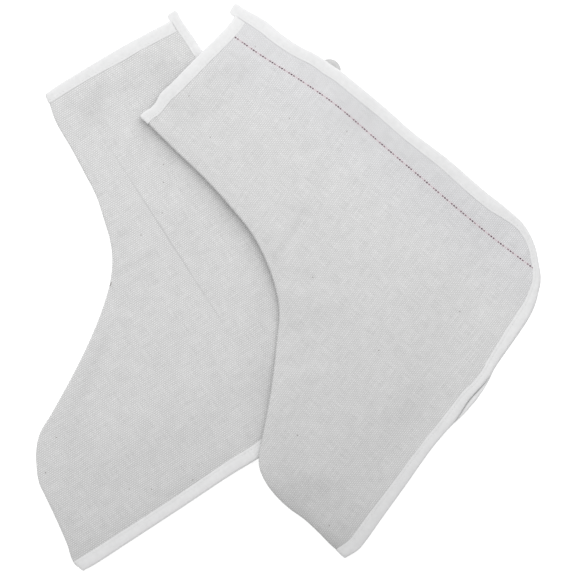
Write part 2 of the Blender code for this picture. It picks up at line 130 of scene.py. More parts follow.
LEFT_SOLE = [
    (64, -35.5), (62, -54.5), (55, -75.5), (41.5, -93), (10, -118), (-24, -143.5),
    (-46, -157), (-92, -187.5), (-138.5, -218), (-161.5, -233), (-169, -237.5), (-175, -240.5),
]
LEFT_FRONT = [
    (-207, 164.5), (-205, 160), (-196.5, 139.5), (-184.5, 119), (-173.5, 98.5), (-163, 78),
    (-156.5, 58), (-151.5, 41), (-149.5, 24), (-151, 7), (-156.5, -13.5), (-168.5, -44),
    (-184.5, -76.5), (-200.5, -105.5), (-212, -126), (-214, -136), (-214, -150.5),
    (-211.5, -166.5), (-206.5, -177), (-197, -197), (-188, -217.5), (-179.5, -238),
    (-175, -240.5),
]

# How far the lower layer looks out from under the upper one: rows of mm along the sole from the
# heel, mm out
RIGHT_PEEK = [
    (0, 0.5), (60, 0.8), (100, 0.8), (116, 3.2), (128, 5.0), (138, 3.9), (146, 2.3), (154, 0.8),
    (162, 0.2), (290, 0),
]
LEFT_PEEK = [(0, 0), (150, 0.6), (300, 0.4)]

# Soft creases of the upper panels: start, end, mm deep (less than 0 for a ridge), mm wide
# Each trough is also painted darker and each ridge lighter: painted shade and painted highlight
LEFT_CREASES_AND_SHADOW = [
    ((-162, 168), (-169, 138), 0.22, 6), ((-150, 176), (-136, 128), -0.14, 8),
    ((-186, 160), (-158, 138), 0.16, 5), ((-146, 11), (-116, 29), 0.30, 3.6),
    ((-142, 2), (-120, 10), 0.16, 4), ((-142, 20), (-118, 34), -0.18, 4),
    ((-146, 40), (-120, 62), 0.14, 6), ((-155, -46), (-175, -92), 0.30, 6),
    ((-146, -50), (-166, -96), -0.24, 7), ((-150, -20), (-112, -30), -0.12, 9),
    ((-96, 60), (-70, 18), 0.12, 8), ((-120, -60), (-84, -96), 0.10, 9),
    ((-188, -120), (-160, -150), 0.12, 8), ((-172, 152), (-150, 170), 0.18, 9),
    # The last four rows, along the right cover's front edge, are painted shadow of that edge over
    # shallow troughs
    ((-122, 127), (-100, 108), 0.26, 8), ((-100, 108), (-54, 60), 0.26, 8),
    ((-54, 60), (-30, 24), 0.22, 8), ((-22, 4), (-27, -112), 0.20, 10),
]
RIGHT_CREASES = [
    ((7, 52), (-11, 25), 0.42, 2.9), ((14, 50), (0, 27), -0.14, 4.5),
    ((13, 64), (7, 52), 0.20, 4.5), ((27, 95), (13, 64), 0.14, 6.5),
    # Painted shade along the toe's front edge, over a shallow trough
    ((14, -190), (44, -220), 0.30, 13),
    ((-3, 13), (22, 14), 0.16, 4), ((-6, 0), (16, -6), -0.14, 5),
    ((0, -62), (20, -48), 0.20, 5), ((4, -30), (40, -22), 0.12, 7),
    ((-22, 76), (14, 66), 0.12, 6), ((60, 110), (34, 76), -0.12, 8),
    ((118, -84), (98, -112), 0.16, 12), ((20, -168), (40, -184), 0.14, 6),
    ((6, -150), (34, -158), -0.12, 7), ((70, -60), (40, -110), 0.12, 10),
    ((150, 20), (120, -30), 0.08, 10), ((-60, 150), (-30, 118), 0.08, 9),
]

# The cut's grain: where the warp is measured from, and how many degrees it dips towards the toes.
# The right cover's warp, and the selvage line in it, also bows: rows of mm along it, mm towards
# the back edge
RIGHT_GRAIN = ((-45.0, 213.0), 37.6)
LEFT_GRAIN = ((-104.0, 221.0), 57.2)
RIGHT_BOW = [
    (-60, -2), (0, 0), (26, 1.3), (66, 5.0), (104, 6.8), (129, 5.7), (152, 4.3), (205, 1.8),
    (235, 0.3), (278, -1.1), (320, -0.8), (420, 0),
]
LEFT_BOW = [(-60, 0), (150, 0), (420, 0)]


def smooth(t):
    """Soft step from 0 to 1."""
    t = np.clip(t, 0.0, 1.0)
    return t * t * (3 - 2 * t)


def from_table(rows, at):
    """Read a two-column table between its rows."""
    keys, values = zip(*rows)
    return np.interp(at, keys, values)


def lengths(points):
    """Distance along a line of points, from its first one."""
    steps = np.linalg.norm(np.diff(points, axis=0), axis=1)
    return np.concatenate([[0.0], np.cumsum(steps)])


def columns_at(where, keys, rows):
    """Rows of numbers, read between their keys."""
    return np.stack([np.interp(where, keys, column) for column in rows.T], axis=-1)


def at_lengths(line, where):
    """Points of a line at the given distances along it."""
    return columns_at(where, lengths(line), line)


def curve_through(rows):
    """Smooth line through the rows, with points LINE_STEP apart."""
    knots = np.array(rows, float)
    keys = lengths(knots)
    slopes = np.gradient(knots, keys, axis=0)
    line = []
    for k in range(len(knots) - 1):
        span = keys[k + 1] - keys[k]
        for t in np.arange(CURVE_STEPS) / CURVE_STEPS:
            line.append(
                (2 * t**3 - 3 * t**2 + 1) * knots[k] + (t**3 - 2 * t**2 + t) * span * slopes[k]
                + (3 * t**2 - 2 * t**3) * knots[k + 1] + (t**3 - t**2) * span * slopes[k + 1])
    line = np.array(line + [knots[-1]])
    total = lengths(line)[-1]
    return at_lengths(line, np.linspace(0, total, round(total / LINE_STEP) + 1))


def evened(values, reach=4):
    """Running mean over the neighbouring points of a line."""
    padded = np.pad(values, ((reach, reach), (0, 0)), mode="edge")
    return sum(padded[k:k + len(values)] for k in range(2 * reach + 1)) / (2 * reach + 1)


def unit(vectors):
    return vectors / np.linalg.norm(vectors, axis=-1, keepdims=True)


def raised(plan, height):
    """Points over a plan, at their heights."""
    return np.concatenate([plan, height[..., None]], axis=-1)


def facing(points, up=1.0):
    """Normals that point straight up, or straight down for -1."""
    normals = np.zeros_like(points)
    normals[..., 2] = up
    return normals


def inward(line):
    """Unit normals of a side, to the right of its direction."""
    tangent = unit(evened(np.gradient(line, axis=0)))
    return np.stack([tangent[:, 1], -tangent[:, 0]], axis=1)


def meeting(line_a, line_b):
    """Where the straight runs at the end of one side and the start of the next cross."""
    along_a = line_a[-1] - line_a[-1 - CORNER_STEPS]
    along_b = line_b[0] - line_b[CORNER_STEPS]
    reach = np.linalg.solve(np.stack([along_a, -along_b], axis=1), line_b[0] - line_a[-1])
    return line_a[-1] + along_a * reach[0]


def distance_to(points, line):
    """Distance of each point to a line of points."""
    start, step = line[:-1], np.diff(line, axis=0)
    flat = points.reshape(-1, 2)
    found = []
    for some in np.array_split(flat, max(1, len(flat) // CHUNK)):
        offset = some[:, None, :] - start
        part = np.clip((offset * step).sum(-1) / (step**2).sum(-1), 0, 1)
        found.append(np.linalg.norm(offset - part[..., None] * step, axis=-1).min(-1))
    return np.concatenate(found).reshape(points.shape[:-1])


def inside(points, ring):
    """True for points inside a closed ring, by counting crossings."""
    ends = np.roll(ring, -1, axis=0)
    rise = np.where(ends[:, 1] == ring[:, 1], 1e-9, ends[:, 1] - ring[:, 1])
    flat = points.reshape(-1, 2)
    found = []
    for some in np.array_split(flat, max(1, len(flat) // CHUNK)):
        x, y = some[:, None, 0], some[:, None, 1]
        straddle = (ring[:, 1] > y) != (ends[:, 1] > y)
        cross = ring[:, 0] + (y - ring[:, 1]) / rise * (ends[:, 0] - ring[:, 0])
        found.append((straddle & (x < cross)).sum(-1) % 2 == 1)
    return np.concatenate(found).reshape(points.shape[:-1])


def softened(field, rounds=SOFTEN_ROUNDS):
    """Map of heights with its sharp bends eased."""
    for _ in range(rounds):
        padded = np.pad(field, ((1, 1), (0, 0)), mode="edge")
        field = (padded[:-2] + 2 * field + padded[2:]) / 4
        padded = np.pad(field, ((0, 0), (1, 1)), mode="edge")
        field = (padded[:, :-2] + 2 * field + padded[:, 2:]) / 4
    return field


class Cover:
    """One laid cover: its four sides, and the heights of its two panels over its outline."""

    def __init__(self, name, outline, peek, creases, grain, bow, below=None, bulge_at=None,
                 curl_at=None):
        top, back, sole, front = outline
        self.name = name
        self.grain = grain
        self.creases = creases
        self.bow = curve_through(bow)
        self.silhouette = [curve_through(rows) for rows in (top, back, sole, front[::-1])]
        self.ring = np.concatenate([side[:-1] for side in self.silhouette])
        self.sides = {1: self.cut_sides([(0, 0), (1, 0)]), -1: self.cut_sides(peek)}
        self.map_heights(below, bulge_at)
        if curl_at is not None:
            self.turn_up(curl_at)

    def cut_sides(self, out_rows):
        """Cut edges and the middle of the rolled front edge, inside the laid outline."""
        top, back, sole, front = self.silhouette
        run = lengths(front)
        near_end = np.minimum(run, run[-1] - run)
        insets = [np.full(len(top), BOUND), np.full(len(back), BOUND),
                  BOUND - from_table(out_rows, lengths(sole)),
                  CLOTH / 2 + BOUND * (1 - smooth(near_end / TUCK))]
        lines = [side + inward(side) * amount[:, None]
                 for side, amount in zip(self.silhouette, insets)]
        corners = [meeting(lines[3], lines[0]), meeting(lines[0], lines[1]),
                   (lines[1][-1] + lines[2][0]) / 2, meeting(lines[2], lines[3])]
        for k, line in enumerate(lines):
            line[0], line[-1] = corners[k], corners[(k + 1) % 4]
        return lines

    def map_heights(self, below, bulge_at):
        """Heights of both panels' middles, on a raster over the outline."""
        self.low = self.ring.min(axis=0) - RASTER_MARGIN
        spans = np.ceil((self.ring.max(axis=0) + RASTER_MARGIN - self.low) / RASTER).astype(int)
        axes = [self.low[a] + RASTER * np.arange(spans[a] + 1) for a in (0, 1)]
        plan = self.plan = np.stack(np.meshgrid(*axes, indexing="ij"), axis=-1)
        free = 1.0
        for side in self.sides[1][:3]:
            free = free * smooth((distance_to(plan, side) - STRIP) / BOUND_EASE)
        to_seam = distance_to(plan, self.sides[1][3])
        seam = 1 - smooth((to_seam - SEAM_FLAT) / SEAM_EASE)
        half = LAID + SPREAD * (1 - free * (1 - seam))
        if bulge_at is not None:
            away = np.linalg.norm(plan - np.array(bulge_at), axis=-1)
            half = half + TAB_ROOM * (1 - smooth((away - TAB_BULGE) / TAB_EASE))
        floor = np.zeros(plan.shape[:-1])
        bridge = 0 * floor
        if below is not None:
            depth = distance_to(plan, below.ring)
            depth = np.where(inside(plan, below.ring), depth, -depth)
            level_from, level_to = DRAPE_LEVEL
            rise = smooth((depth + DRAPE_OUT_START) / (DRAPE_OUT_START + level_from))
            fall = smooth((depth - level_to) / (DRAPE_IN_END - level_to))
            floor = DRAPE_TOP * rise - (DRAPE_TOP - DRAPE_IN) * fall
            longer = smooth((depth + DRAPE_BRIDGE_START) / (DRAPE_BRIDGE_START + level_from))
            clear, full = DRAPE_BRIDGE_EDGE
            free_part = smooth((distance_to(plan, self.ring) - clear) / (full - clear))
            bridge = DRAPE_TOP * (longer - rise) * free_part
        lower = softened(floor + CLOTH / 2 + SPREAD * (1 - free))
        upper = lower + 2 * softened(half) + softened(bridge)
        upper += SEAM_RIDGE * (1 - smooth((to_seam - SEAM_RIDGE_FROM) / SEAM_RIDGE_EASE))
        still, ease = CALM
        upper += smooth((distance_to(plan, self.ring) - still) / ease) * self.wavy(plan)
        upper -= self.folded(plan)
        self.maps = {-1: lower, 1: upper}

    def turn_up(self, curl_at):
        """Raise the lower panel's sole edge where it looks out from under the upper one."""
        cut = self.sides[1]
        past = distance_to(self.plan, cut[2])
        within = inside(self.plan, np.concatenate([side[:-1] for side in cut]))
        past = np.where(within, -past, past)
        away = np.linalg.norm(self.plan - at_lengths(cut[2], curl_at), axis=-1)
        full, ease = CURL_REACH
        self.maps[-1] += (CURL * smooth((past - CURL_START) / CURL_EASE)
                          * (1 - smooth((away - full) / ease)))

    def folded(self, plan):
        """Depth of the listed creases."""
        field = 0.0
        for start, end, deep, wide in self.creases:
            start, end = np.array(start, float), np.array(end, float)
            along = unit(end - start)
            part = np.clip((plan - start) @ along, 0, np.linalg.norm(end - start))
            away = np.linalg.norm(plan - start - part[..., None] * along, axis=-1)
            field = field + deep * np.exp(-(away / wide) ** 2)
        return field

    def wavy(self, plan):
        """Slow, shallow waves of cloth that was folded and opened again."""
        draw = np.random.default_rng(len(self.name))
        swing, bow_length = WAVE_BOW
        field = 0.0
        for reach in WAVES:
            turn = draw.uniform(0, 2 * math.pi)
            shift = draw.uniform(0, 2 * math.pi)
            across = plan @ np.array([math.cos(turn), math.sin(turn)])
            crest = plan @ np.array([-math.sin(turn), math.cos(turn)])
            phase = 2 * math.pi * across / reach + swing * np.sin(crest / bow_length + shift)
            field = field + reach / WAVE_FLATNESS * np.sin(phase + shift)
        return field

    def height(self, side, plan):
        """Height of a panel's middle, read between the points of its map."""
        field = self.maps[side]
        at = (plan - self.low) / RASTER
        cell = np.clip(np.floor(at).astype(int), 0, np.array(field.shape) - 2)
        x, y = np.moveaxis(np.clip(at - cell, 0, 1), -1, 0)
        i, j = cell[..., 0], cell[..., 1]
        return ((1 - x) * (1 - y) * field[i, j] + x * (1 - y) * field[i + 1, j]
                + (1 - x) * y * field[i, j + 1] + x * y * field[i + 1, j + 1])

    def on_ply(self, side, plan, angle=0.0):
        """Points of a panel's middle; angle is how far the ply has turned into the front roll."""
        half = (self.height(1, plan) - self.height(-1, plan)) / 2
        rise = BEND_HALF_GAP + (half - BEND_HALF_GAP) * max(math.cos(angle), 0) ** BEND_SQUARE
        return raised(plan, self.between(plan) + side * rise)

    def between(self, plan):
        """Height half way between the two panels."""
        return (self.height(1, plan) + self.height(-1, plan)) / 2

    def panel(self, side):
        """Middle surface and outward normals of the upper (1) or lower (-1) panel."""
        top, back, sole, front = self.sides[side]
        sole, front = sole[::-1], front[::-1]
        out = -inward(self.sides[side][3])[::-1]
        down, across = np.linspace(0, 1, ROWS + 1), np.linspace(0, 1, COLUMNS + 1)
        crowded = across + HEEL_CROWD * across * (1 - across)
        down_front = down * lengths(front)[-1]
        front_nodes = at_lengths(front, down_front)
        front_out = unit(columns_at(down_front, lengths(front), out))
        head = at_lengths(top, BEND + across * (lengths(top)[-1] - BEND))
        foot = at_lengths(sole, BEND + crowded * (lengths(sole)[-1] - BEND))
        fore = front_nodes - BEND * front_out
        fore[0], fore[-1] = head[0], foot[0]
        aft = at_lengths(back, down * lengths(back)[-1])
        u, v = down[:, None, None], across[None, :, None]
        corners = ((1 - u) * (1 - v) * head[0] + (1 - u) * v * head[-1]
                   + u * (1 - v) * foot[0] + u * v * foot[-1])
        field = (1 - v) * fore[:, None] + v * aft[:, None] + (1 - u) * head + u * foot - corners
        flat = self.on_ply(side, field)
        rolled, rolled_normal = [], []
        for angle in BEND_ANGLES[:-1]:
            depth = BEND * (1 - math.sin(angle))
            plan = front_nodes - depth * front_out
            plan[0], plan[-1] = at_lengths(top, depth), at_lengths(sole, depth)
            rolled.append(self.on_ply(side, plan, angle))
            rise = np.full((len(plan), 1), side * math.cos(angle))
            rolled_normal.append(np.concatenate([front_out * math.sin(angle), rise], axis=1))
        middle = np.concatenate([np.stack(rolled, axis=1), flat], axis=1)
        normal = np.concatenate([np.stack(rolled_normal, axis=1), facing(flat, side)], axis=1)
        return middle, normal

    def cut_place(self, points):
        """Place of each point on the cloth before cutting: metres along the warp and across it."""
        start, along, across = self.grain_axes()
        offset = points[:, :2] - start
        run = offset @ along
        bowed = np.interp(run, self.bow[:, 0], self.bow[:, 1])
        return np.stack([run, offset @ across + bowed], axis=1) * MM

    def grain_axes(self):
        start, dip = self.grain
        turn = math.radians(dip)
        along = np.array([math.cos(turn), -math.sin(turn)])
        across = np.array([-math.sin(turn), -math.cos(turn)])
        return np.array(start), along, across

    def on_grain(self, run, across_mm=0.0):
        """Plan of places given by their distance along the warp and across it."""
        start, along, across = self.grain_axes()
        bowed = across_mm - np.interp(run, self.bow[:, 0], self.bow[:, 1])
        return start + np.multiply.outer(run, along) + np.multiply.outer(bowed, across)


def wall_from_grid(middle, normal, thickness):
    """Points and faces of a sheet with a wall, both faces moved out from its middle."""
    rows, columns = middle.shape[:2]
    lift = normal * (np.broadcast_to(thickness, (rows, columns)) / 2)[..., None]
    points = np.concatenate([(middle + lift).reshape(-1, 3), (middle - lift).reshape(-1, 3)])
    under = rows * columns
    corner = (np.arange(rows - 1)[:, None] * columns + np.arange(columns - 1)).ravel()
    cells = np.stack([corner, corner + 1, corner + columns + 1, corner + columns], axis=1)
    faces = cells.tolist() + (cells[:, ::-1] + under).tolist()
    rim = list(range(columns))
    rim += [i * columns + columns - 1 for i in range(1, rows)]
    rim += [(rows - 1) * columns + j for j in range(columns - 2, -1, -1)]
    rim += [i * columns for i in range(rows - 2, 0, -1)]
    for a, b in zip(rim, rim[1:] + rim[:1]):
        faces.append([b, a, under + a, under + b])
    return points, faces


def set_attribute(mesh, label, kind, values):
    """Give each point of a mesh its number or vector."""
    layer = mesh.attributes.new(label, kind, "POINT")
    field = "vector" if kind == "FLOAT_VECTOR" else "value"
    layer.data.foreach_set(field, np.array(values, np.float32).ravel())


def make_piece(name, points, faces, material, replaced=(), cut_place=None):
    """Add one closed piece, its points in millimetres, that rides on the pair's one body."""
    mesh = bpy.data.meshes.new(name)
    mesh.from_pydata((points * MM).tolist(), [], faces)
    shape = bmesh.new()
    shape.from_mesh(mesh)
    bmesh.ops.recalc_face_normals(shape, faces=shape.faces)
    shape.to_mesh(mesh)
    shape.free()
    mesh.shade_smooth()
    mesh.set_sharp_from_angle(angle=SHARP_EDGE)
    if cut_place is not None:
        corners = np.empty(len(mesh.loops), int)
        mesh.loops.foreach_get("vertex_index", corners)
        mesh.uv_layers.new(name="cut")
        mesh.uv_layers["cut"].data.foreach_set("uv", cut_place[corners].ravel())
    mesh.materials.append(material)
    piece = bpy.data.objects.new(name, mesh)
    bpy.context.scene.collection.objects.link(piece)
    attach(piece, "root")
    if replaced:
        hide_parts(*replaced)
    return piece


class Nodes:
    """Short ways to add nodes to a tree."""

    def __init__(self, tree):
        self.tree = tree

    def node(self, kind, settings=None, **inputs):
        made = self.tree.nodes.new(kind)
        for key, value in (settings or {}).items():
            setattr(made, key, value)
        for key, value in inputs.items():
            self.feed(made.inputs[key.replace("_", " ")], value)
        return made

    def feed(self, socket, value):
        if isinstance(value, bpy.types.NodeSocket):
            self.tree.links.new(value, socket)
        else:
            socket.default_value = value

    def math(self, operation, *values):
        made = self.node("ShaderNodeMath", {"operation": operation})
        for socket, value in zip(made.inputs, values):
            self.feed(socket, value)
        return made.outputs[0]

    def chain(self, operation, first, *others):
        """The operation between the first two values, then with each further one."""
        for other in others:
            first = self.math(operation, first, other)
        return first

    def add(self, *values):
        return self.chain("ADD", *values)

    def times(self, *values):
        return self.chain("MULTIPLY", *values)


class Finish(Nodes):
    """A material and short ways to add its patterns."""

    def __init__(self, name, roughness, sheen=0.0):
        self.material = bpy.data.materials.new(name)
        self.material.use_nodes = True
        super().__init__(self.material.node_tree)
        self.shader = self.tree.nodes["Principled BSDF"]
        self.shader.inputs["Roughness"].default_value = roughness
        self.shader.inputs["Sheen Weight"].default_value = sheen
        self.shader.inputs["Specular IOR Level"].default_value = SHINE

    def mix(self, factor, first, second, blend="MIX"):
        """Blend of two colours."""
        made = self.node("ShaderNodeMix", {"data_type": "RGBA", "blend_type": blend})
        for socket, value in zip((made.inputs[0], made.inputs[6], made.inputs[7]),
                                 (factor, first, second)):
            self.feed(socket, value)
        return made.outputs[2]

    def scaled(self, value, factor, shift=0.0):
        return self.math("MULTIPLY_ADD", value, factor, shift)

    def spread(self, noise, change):
        """Noise, whose mean is 0.5, as a change round 0."""
        return self.scaled(noise, change, -change / 2)

    def beyond(self, value, level, change):
        """1 up to the level, and then changing with each metre past it."""
        past = self.math("MAXIMUM", self.math("SUBTRACT", value, level), 0.0)
        return self.scaled(past, change, 1.0)

    def greyed(self, colour, share):
        """The colour with a share of its light."""
        grey = self.node("ShaderNodeCombineColor", Red=share, Green=share, Blue=share).outputs[0]
        return self.mix(1.0, colour, grey, "MULTIPLY")

    def coloured(self, colour):
        self.tree.links.new(colour, self.shader.inputs["Base Color"])

    def noise(self, place, scale, detail=2.0):
        return self.node("ShaderNodeTexNoise", Vector=place, Scale=scale, Detail=detail).outputs[0]

    def grain(self, scale):
        """Noise that fills the whole piece."""
        return self.noise(self.node("ShaderNodeTexCoord").outputs["Object"], scale)

    def cut_axes(self):
        """Place on the cloth before cutting, and its parts along and across the warp."""
        place = self.node("ShaderNodeUVMap", {"uv_map": "cut"}).outputs[0]
        apart = self.node("ShaderNodeSeparateXYZ", Vector=place)
        return place, apart.outputs[0], apart.outputs[1]

    def bell(self, value, middle, width):
        """1 at the middle, falling to 0 past the width on both sides."""
        off = self.math("DIVIDE", self.math("SUBTRACT", value, middle), width)
        return self.math("POWER", 2.0, self.times(off, off, -1.0))

    def bump(self, height, strength, distance):
        made = self.node("ShaderNodeBump", Height=height, Strength=strength, Distance=distance)
        self.tree.links.new(made.outputs[0], self.shader.inputs["Normal"])


WARP_PITCH = 1.17 * MM      # between warp threads
WEFT_PITCH = 1.62 * MM      # between weft threads
DRIFT = (60.0, 0.5)         # threads wander: patches in a metre, threads out of line
YARN_STRETCH = 60.0         # thick places of a yarn in a metre
CLOUDS = (18.0, 0.11)       # patches in a metre, change of light
ROUND_LIGHT = 0.75          # how much of the light a thread's rounding takes
ROUND_MEAN = 0.58           # its mean
CHECK_LIGHT = 0.17          # and how much the warp threads stand out over the weft threads
YARN_LIGHT = 0.38           # and how much yarns differ
MEAN_LIGHT = 0.475
CHECK_HEIGHT, ROUND_HEIGHT, YARN_HEIGHT = 0.35, 0.5, 0.5
CANVAS_BUMP = (0.55, 0.28 * MM)
CANVAS_LIGHT = (0.790, 0.790, 0.790, 1)
CANVAS_DARK = (0.430, 0.430, 0.430, 1)
WEAVE_DEPTH = {"left": 1.15, "right": 0.95}
SELVAGE_TINT = (0.982, 0.983, 0.998, 1)
TINT_WIDTH = 0.05           # metres inwards from the selvage yarn, until it has faded
SELVAGE_HALO = (0.66, 0.46, 0.51, 1)
HALO = (1.0 * MM, 0.20)     # half width and strength of the dye that bled from the selvage yarn
PAINTED_SIDE_SHADE = (1.02, -0.30)        # painted shade: the right cover greys away from its selvage, towards its front and toe
# Painted shade, greyer towards toe and sole where the light falls off: metres from the top
# opening's back corner, change for each metre past, degrees that the way down is turned towards the
# sole
PAINTED_TIP_SHADE = {"left": (0.28, -1.2, 25.0), "right": (0.37, -2.2, 0.0)}
PAINTED_CREASE_SHADE = 0.13          # painted shade for each mm of a crease's depth, painted highlight for each mm of a ridge's height
PAINTED_TOE_SHADE = 0.75             # painted shade along the right toe's rolled edge, as grey as a crease this deep
PAINTED_TOE_SHADE_WIDTH = 6.0
PAINTED_TOE_SHADE_FROM = (-150.0, 40.0)      # along Y, and how soon it is full
# One thick, darker warp yarn in the left cover: its place across the warp and half its width, its
# middle along the warp and half its length
SLUB = (95.1 * MM, 0.6 * MM)
SLUB_ENDS = (150.0 * MM, 66.0 * MM)
SLUB_STRENGTH = 0.52


def canvas_finish(cover):
    """Plain-weave duck: threads over and under, uneven yarns, faint cloudiness, and painted shade.
    """
    cloth = Finish(f"canvas_{cover.name}", roughness=0.92, sheen=0.08)
    place, along, across = cloth.cut_axes()
    depth = WEAVE_DEPTH[cover.name]

    # Uneven yarns pull the threads a little out of line
    patches, out_of_line = DRIFT
    drift = cloth.times(cloth.noise(place, patches), out_of_line)
    warp = cloth.add(cloth.math("DIVIDE", across, WARP_PITCH), drift)
    weft = cloth.add(cloth.math("DIVIDE", along, WEFT_PITCH), drift)
    checks = cloth.times(cloth.math("SINE", cloth.times(warp, math.pi)),
                         cloth.math("SINE", cloth.times(weft, math.pi)))
    rounds = cloth.math("POWER", cloth.math("ABSOLUTE", checks), 0.5)

    # Each thread has its own thickness and shade, and thick places along it
    yarns = []
    for run, thread in ((along, warp), (across, weft)):
        own = cloth.node("ShaderNodeCombineXYZ", X=cloth.times(run, YARN_STRETCH),
                         Y=cloth.math("FLOOR", thread)).outputs[0]
        yarns.append(cloth.noise(own, 1.0, detail=1.0))
    yarns = cloth.add(*yarns)
    patches, change = CLOUDS
    mean = MEAN_LIGHT - ROUND_LIGHT * ROUND_MEAN * depth
    light = cloth.add(cloth.scaled(rounds, ROUND_LIGHT * depth, mean),
                      cloth.times(checks, CHECK_LIGHT * depth),
                      cloth.scaled(yarns, YARN_LIGHT, -YARN_LIGHT),
                      cloth.spread(cloth.noise(place, patches, detail=3.0), change))
    colour = cloth.mix(light, CANVAS_DARK, CANVAS_LIGHT)

    # Painted shade towards toe and sole, away from the selvage and in creases, the selvage's tint
    # and the left cover's thick yarn
    level, change, turn = PAINTED_TIP_SHADE[cover.name]
    dip = math.radians(cover.grain[1] + turn)
    down = cloth.add(cloth.times(along, math.sin(dip)), cloth.times(across, math.cos(dip)))
    painted_shade = cloth.beyond(down, level, change)
    if cover.name == "right":
        beside = cloth.math("SUBTRACT", 1.0, cloth.math("DIVIDE", across, TINT_WIDTH))
        beside = cloth.math("MINIMUM", cloth.math("MAXIMUM", beside, 0.0), 1.0)
        colour = cloth.mix(beside, colour, SELVAGE_TINT, "MULTIPLY")
        width, strength = HALO
        halo = cloth.times(cloth.bell(across, 0.0, width), strength)
        colour = cloth.mix(halo, colour, SELVAGE_HALO)
        # Painted shade that deepens away from the selvage
        base, change = PAINTED_SIDE_SHADE
        painted_shade = cloth.times(painted_shade, cloth.scaled(across, change, base))
    else:
        slub = cloth.times(cloth.bell(across, *SLUB), cloth.bell(along, *SLUB_ENDS), SLUB_STRENGTH)
        colour = cloth.mix(slub, colour, CANVAS_DARK)
    # Painted shade in crease troughs and along the right toe's edge, painted highlight on ridges
    folds = cloth.node("ShaderNodeAttribute", {"attribute_name": "folds"}).outputs["Fac"]
    painted_shade = cloth.times(painted_shade, cloth.scaled(folds, -PAINTED_CREASE_SHADE, 1.0))
    cloth.coloured(cloth.greyed(colour, painted_shade))
    height = cloth.add(cloth.times(checks, CHECK_HEIGHT), cloth.times(rounds, ROUND_HEIGHT),
                       cloth.times(yarns, YARN_HEIGHT))
    cloth.bump(height, *CANVAS_BUMP)
    return cloth.material


left = Cover("left", (LEFT_TOP, LEFT_BACK, LEFT_SOLE, LEFT_FRONT), LEFT_PEEK, LEFT_CREASES_AND_SHADOW,
             LEFT_GRAIN, LEFT_BOW)
right = Cover("right", (RIGHT_TOP, RIGHT_BACK, RIGHT_SOLE, RIGHT_FRONT), RIGHT_PEEK,
              RIGHT_CREASES, RIGHT_GRAIN, RIGHT_BOW, below=left, bulge_at=TAB_FOOT,
              curl_at=CURL_AT)
# What each panel is cut from in metres, and its area in square metres
PANEL_CUTS = {"left": ((0.276, 0.468), 0.0743), "right": ((0.337, 0.465), 0.0759)}
canvas = {cover.name: canvas_finish(cover) for cover in (left, right)}
for cover in (left, right):
    for side, layer in ((-1, "lower"), (1, "upper")):
        middle, normal = cover.panel(side)
        points, faces = wall_from_grid(middle, normal, CLOTH)
        panel = make_piece(f"{cover.name}_{layer}_panel_cloth", points, faces, canvas[cover.name],
                           [f"{cover.name}_{layer}_panel"], cover.cut_place(points))
        if side > 0:
            # Crease depths, kept for painted shade in troughs and painted highlight on ridges
            shading = cover.folded(points[:, :2])
            # Painted shade along the right toe's rolled edge
            if cover is right:
                away = distance_to(points[:, :2], cover.silhouette[3])
                start, ease = PAINTED_TOE_SHADE_FROM
                shading = shading + (PAINTED_TOE_SHADE * np.exp(-(away / PAINTED_TOE_SHADE_WIDTH) ** 2)
                                     * smooth((start - points[:, 1]) / ease))
            set_attribute(panel.data, "folds", "FLOAT", shading)
        size, area = PANEL_CUTS[cover.name]


# Selvage yarn
# One dark red warp yarn marks the canvas's selvage, 12 to 30 mm inside the right cover's back
# edge. It floats over every other weft thread and is spun unevenly, so it looks dashed.
DARK_FLOAT = (1.6, 1.12, 0.4)      # length, width and how far each end dips into the cloth
PALE_FLOAT = (1.2, 0.45, 0.25)
DASH_START = 0.6            # from the top tape's inner edge
DASH_PITCH = (9.35, 0.034)  # mm from one dash to the next, and its growth for each
DASHES = 33
DASH_SHADES = (1.0, 0.66, 0.0, 0.66)
YARN_DARK = (0.045, 0.005, 0.027, 1)
YARN_PALE = (0.58, 0.40, 0.45, 1)
YARN_FUZZ = (1800.0, 0.3)   # grains in a metre, change of shade
YARN_BUMP = (0.4, 0.1 * MM)
YARN_LIFT = 0.02            # middle of a float over the canvas
UNEVEN = 0.15               # how much a float's shade may differ
DARK_OVER = 0.3             # floats of a darker shade are thick
SPIN_SEED = 11
THREAD_POINTS = 6           # along each short thread
THREAD_SIDES = 6
THREAD_TAPER = 0.55         # how much thinner its ends are


